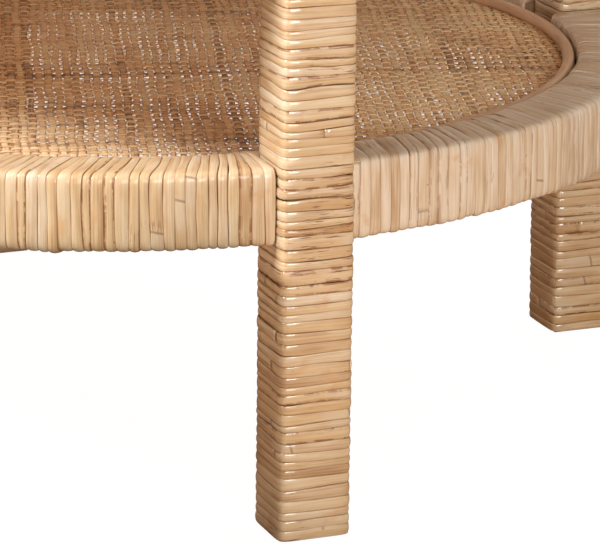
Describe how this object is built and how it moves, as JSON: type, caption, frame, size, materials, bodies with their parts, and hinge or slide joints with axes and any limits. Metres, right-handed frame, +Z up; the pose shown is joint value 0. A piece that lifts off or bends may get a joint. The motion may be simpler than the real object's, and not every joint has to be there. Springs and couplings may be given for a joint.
{
  "type": "wicker coffee table",
  "caption": "Round two-tier coffee table in wrapped rattan: square legs, a ring-framed woven cane top and a matching lower shelf.",
  "frame": {"origin": "on the floor, at the table's centre", "axes": "+Z up; the legs stand on -Y (front), +X (right), +Y (back) and -X (left)"},
  "size_m": [0.794, 0.794, 0.46],
  "materials": {
    "frame_wood": "sawn hardwood, unfinished, hidden by the binding",
    "rattan_binding": "flat rattan peel, natural blond, satin clear lacquer",
    "cane_weave": "open plain weave of flat cane in mixed browns, satin clear lacquer",
    "rattan_pole": "peeled rattan pole, pinkish brown, satin clear lacquer"
  },
  "bodies": {
    "root": {"leg_post_front": "frame_wood", "leg_binding_lower_front": "rattan_binding", "leg_binding_shelf_front": "rattan_binding", "leg_binding_upper_front": "rattan_binding", "leg_binding_top_front": "rattan_binding", "leg_post_right": "frame_wood", "leg_binding_lower_right": "rattan_binding", "leg_binding_shelf_right": "rattan_binding", "leg_binding_upper_right": "rattan_binding", "leg_binding_top_right": "rattan_binding", "leg_post_back": "frame_wood", "leg_binding_lower_back": "rattan_binding", "leg_binding_shelf_back": "rattan_binding", "leg_binding_upper_back": "rattan_binding", "leg_binding_top_back": "rattan_binding", "leg_post_left": "frame_wood", "leg_binding_lower_left": "rattan_binding", "leg_binding_shelf_left": "rattan_binding", "leg_binding_upper_left": "rattan_binding", "leg_binding_top_left": "rattan_binding", "shelf_rail_front_right": "frame_wood", "shelf_binding_front_right": "rattan_binding", "shelf_ledge_front_right": "frame_wood", "shelf_rail_back_right": "frame_wood", "shelf_binding_back_right": "rattan_binding", "shelf_ledge_back_right": "frame_wood", "shelf_rail_back_left": "frame_wood", "shelf_binding_back_left": "rattan_binding", "shelf_ledge_back_left": "frame_wood", "shelf_rail_front_left": "frame_wood", "shelf_binding_front_left": "rattan_binding", "shelf_ledge_front_left": "frame_wood", "shelf_panel": "cane_weave", "shelf_bead": "rattan_pole", "top_rail_front_right": "frame_wood", "top_binding_front_right": "rattan_binding", "top_ledge_front_right": "frame_wood", "top_rail_back_right": "frame_wood", "top_binding_back_right": "rattan_binding", "top_ledge_back_right": "frame_wood", "top_rail_back_left": "frame_wood", "top_binding_back_left": "rattan_binding", "top_ledge_back_left": "frame_wood", "top_rail_front_left": "frame_wood", "top_binding_front_left": "rattan_binding", "top_ledge_front_left": "frame_wood", "top_panel": "cane_weave", "top_bead": "rattan_pole"}
  },
  "joints": []
}
